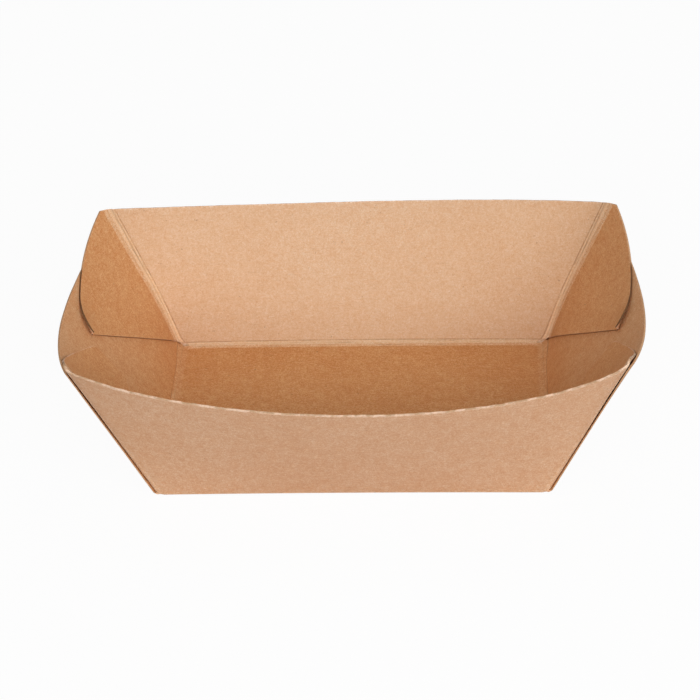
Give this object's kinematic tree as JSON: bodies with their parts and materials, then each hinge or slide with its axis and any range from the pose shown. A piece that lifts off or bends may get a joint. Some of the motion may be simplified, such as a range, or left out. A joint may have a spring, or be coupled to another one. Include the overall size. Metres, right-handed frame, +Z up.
{
  "type": "paper food tray",
  "caption": "Open food tray folded from one sheet of kraft board, with a flat rectangular base, flared bowed walls and flaps glued inside the end walls.",
  "frame": {"origin": "on the table, under the middle of the whole tray", "axes": "+X along the tray's length, +Y towards the back wall, +Z up"},
  "size_m": [0.1488, 0.1012, 0.0433],
  "materials": {
    "kraft_board": "uncoated brown kraft board, matt, with fine fibres"
  },
  "bodies": {
    "root": {"folded_tray": "kraft_board"}
  },
  "joints": []
}
